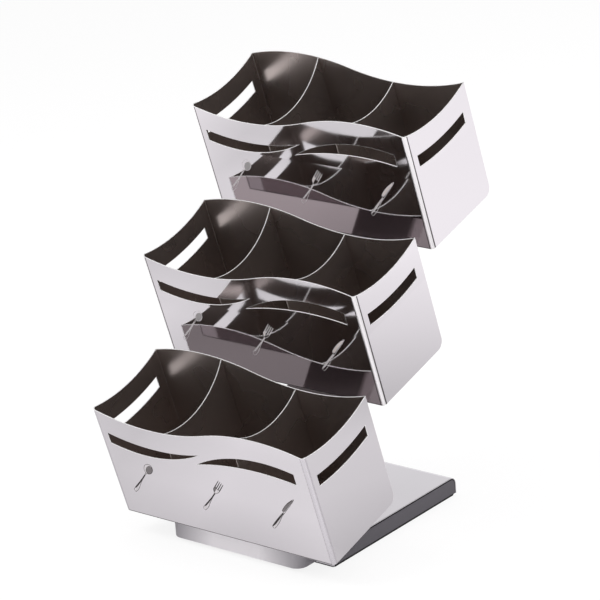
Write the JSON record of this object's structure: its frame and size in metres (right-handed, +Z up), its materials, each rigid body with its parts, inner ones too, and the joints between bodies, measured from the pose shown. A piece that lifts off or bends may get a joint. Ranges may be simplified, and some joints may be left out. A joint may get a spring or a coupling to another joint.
{
  "type": "cutlery dispenser",
  "caption": "Tiered self-service cutlery stand in polished sheet steel, with forward-leaning, wave-cut divided bins that lift off a weighted base.",
  "frame": {"origin": "on the counter, in the middle of the base's footprint", "axes": "+X to the right as seen from the front, +Y to the rear, +Z up"},
  "size_m": [0.28, 0.3664, 0.4715],
  "materials": {
    "polished_sheet": "mirror polished",
    "satin_plate": "satin",
    "brushed_bar": "brushed",
    "ballast": "satin paint",
    "fastener": "satin",
    "rubber": "matte"
  },
  "bodies": {
    "stand": {"base_core": "ballast", "base_cover": "polished_sheet", "front_nose": "brushed_bar", "foot_plate": "satin_plate", "rubber_mat": "rubber", "spine": "polished_sheet", "base_screws": "fastener", "spine_screws": "fastener", "spine_nuts": "fastener", "lower_bracket": "satin_plate", "lower_hanger_rail": "satin_plate", "middle_bracket": "satin_plate", "middle_hanger_rail": "satin_plate", "upper_bracket": "satin_plate", "upper_hanger_rail": "satin_plate"},
    "lower_bin": {"lower_bin_shell": "polished_sheet", "lower_bin_tray": "polished_sheet", "lower_bin_divider_left": "polished_sheet", "lower_bin_divider_right": "polished_sheet", "lower_bin_hook": "satin_plate", "lower_bin_bumpers": "rubber"},
    "middle_bin": {"middle_bin_shell": "polished_sheet", "middle_bin_tray": "polished_sheet", "middle_bin_divider_left": "polished_sheet", "middle_bin_divider_right": "polished_sheet", "middle_bin_hook": "satin_plate", "middle_bin_bumpers": "rubber"},
    "upper_bin": {"upper_bin_shell": "polished_sheet", "upper_bin_tray": "polished_sheet", "upper_bin_divider_left": "polished_sheet", "upper_bin_divider_right": "polished_sheet", "upper_bin_hook": "satin_plate", "upper_bin_bumpers": "rubber"}
  },
  "joints": [
    {"name": "lower_bin_lift", "type": "slide", "parent": "stand", "child": "lower_bin", "axis": [0, -0.284, 0.9588], "range_m": [0, 0.15]},
    {"name": "middle_bin_lift", "type": "slide", "parent": "stand", "child": "middle_bin", "axis": [0, -0.284, 0.9588], "range_m": [0, 0.15]},
    {"name": "upper_bin_lift", "type": "slide", "parent": "stand", "child": "upper_bin", "axis": [0, -0.284, 0.9588], "range_m": [0, 0.15]}
  ]
}
